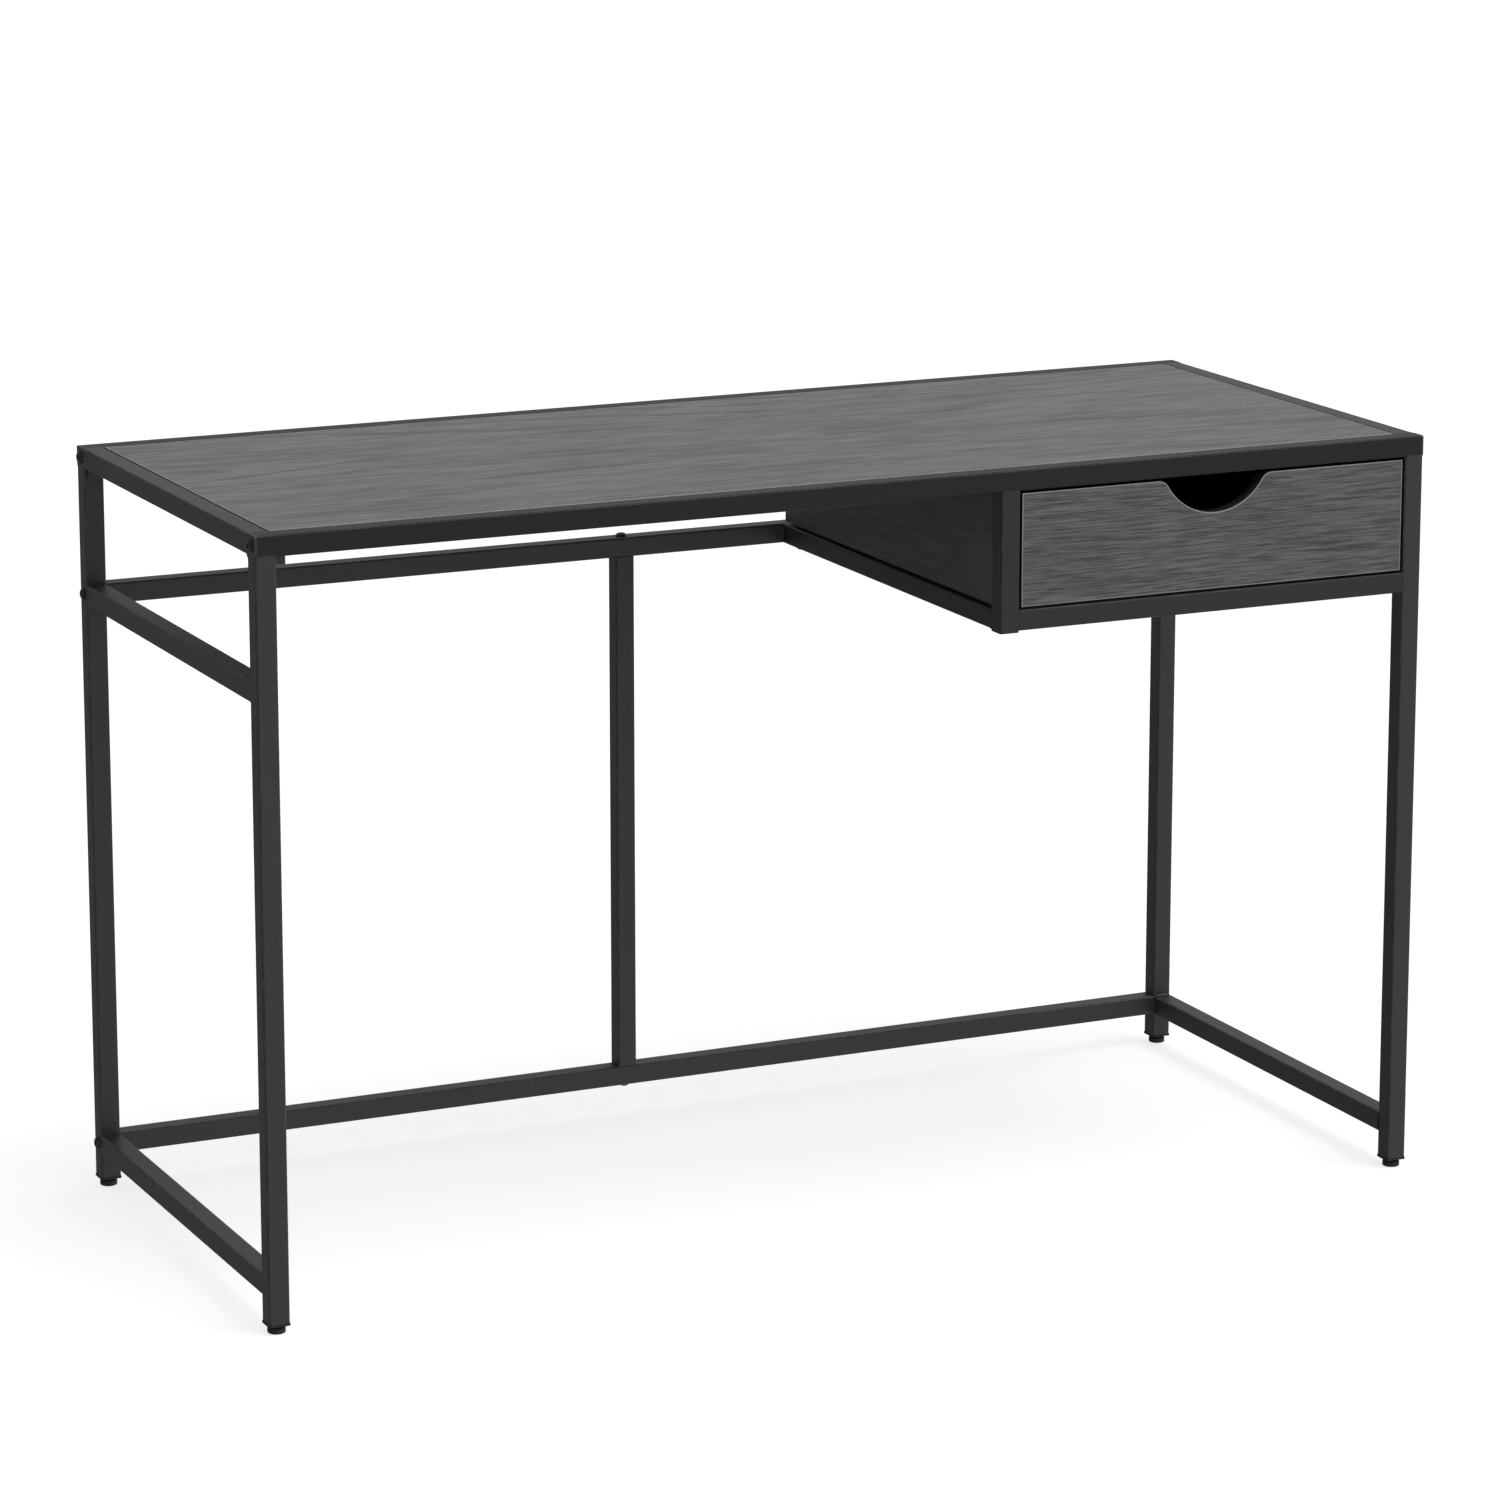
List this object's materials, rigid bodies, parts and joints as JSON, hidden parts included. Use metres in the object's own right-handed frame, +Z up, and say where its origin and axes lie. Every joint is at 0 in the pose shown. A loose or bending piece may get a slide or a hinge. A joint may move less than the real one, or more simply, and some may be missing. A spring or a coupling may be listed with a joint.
{
  "type": "writing desk with a drawer",
  "caption": "Writing desk with a black square-tube steel frame, a grey wood-grain top set into it and a drawer with a finger cut-out in a bay at the right.",
  "frame": {"origin": "on the floor, under the middle of the desk", "axes": "+X to the user's right along the desk, +Y from the user towards the rear, +Z up; the drawer opens towards -Y"},
  "size_m": [1.206, 0.501, 0.74],
  "materials": {
    "powder_coat": "satin black powder coat",
    "grey_wood": "grey wood-grain laminate, satin",
    "bay_board": "dark wood-grain laminate, matt",
    "box_board": "dark grey laminate, matt",
    "zinc_steel": "bright zinc plate",
    "black_bolts": "black oxide",
    "black_plastic": "moulded, matt"
  },
  "bodies": {
    "frame": {"left_front_leg": "powder_coat", "left_rear_leg": "powder_coat", "right_front_leg": "powder_coat", "right_rear_leg": "powder_coat", "left_top_rail": "powder_coat", "left_mid_rail": "powder_coat", "left_bottom_rail": "powder_coat", "right_top_rail": "powder_coat", "right_mid_rail": "powder_coat", "right_bottom_rail": "powder_coat", "front_top_rail": "powder_coat", "rear_top_rail": "powder_coat", "rear_mid_rail": "powder_coat", "rear_bottom_rail": "powder_coat", "rear_centre_leg": "powder_coat", "bay_front_post": "powder_coat", "bay_front_rail": "powder_coat", "bay_left_rail": "powder_coat", "rail_corner_tabs": "powder_coat", "rail_end_plates": "powder_coat", "corner_gussets": "powder_coat", "front_corner_tab": "powder_coat", "desktop_cleats": "powder_coat", "frame_bolts": "black_bolts", "centre_leg_bolts": "black_bolts", "bay_panel_bolts": "black_bolts", "desktop_screws": "zinc_steel", "slide_bay_screws": "zinc_steel", "bay_back_screws": "zinc_steel", "left_slide_outer": "zinc_steel", "right_slide_outer": "zinc_steel", "desktop_panel": "grey_wood", "bay_left_panel": "bay_board", "bay_right_panel": "bay_board", "bay_back_panel": "bay_board", "leg_end_plugs": "black_plastic", "bay_post_plug": "black_plastic", "bay_panel_spacers": "black_plastic"},
    "drawer": {"drawer_front": "grey_wood", "drawer_left_side": "box_board", "drawer_right_side": "box_board", "drawer_back": "box_board", "drawer_bottom": "box_board", "drawer_cams": "zinc_steel", "drawer_cam_bolts": "zinc_steel", "drawer_back_screws": "zinc_steel", "slide_drawer_screws": "zinc_steel", "left_slide_inner": "zinc_steel", "right_slide_inner": "zinc_steel"},
    "left_slide": {"left_slide_middle": "zinc_steel"},
    "right_slide": {"right_slide_middle": "zinc_steel"},
    "front_left_foot": {"foot_front_left": "black_plastic"},
    "front_right_foot": {"foot_front_right": "black_plastic"},
    "rear_left_foot": {"foot_rear_left": "black_plastic"},
    "rear_right_foot": {"foot_rear_right": "black_plastic"}
  },
  "joints": [
    {"name": "drawer_slide", "type": "slide", "parent": "frame", "child": "drawer", "axis": [0, -1, 0], "range_m": [0, 0.36]},
    {"name": "left_slide_travel", "type": "slide", "parent": "frame", "child": "left_slide", "axis": [0, -1, 0], "range_m": [0, 0.18]},
    {"name": "right_slide_travel", "type": "slide", "parent": "frame", "child": "right_slide", "axis": [0, -1, 0], "range_m": [0, 0.18]},
    {"name": "front_left_foot_screw", "type": "slide", "parent": "frame", "child": "front_left_foot", "axis": [0, 0, -1], "range_m": [0, 0.01]},
    {"name": "front_right_foot_screw", "type": "slide", "parent": "frame", "child": "front_right_foot", "axis": [0, 0, -1], "range_m": [0, 0.01]},
    {"name": "rear_left_foot_screw", "type": "slide", "parent": "frame", "child": "rear_left_foot", "axis": [0, 0, -1], "range_m": [0, 0.01]},
    {"name": "rear_right_foot_screw", "type": "slide", "parent": "frame", "child": "rear_right_foot", "axis": [0, 0, -1], "range_m": [0, 0.01]}
  ],
  "couplings": [
    {"joint": "left_slide_travel", "follows": "drawer_slide", "ratio": 0.5},
    {"joint": "right_slide_travel", "follows": "drawer_slide", "ratio": 0.5}
  ]
}
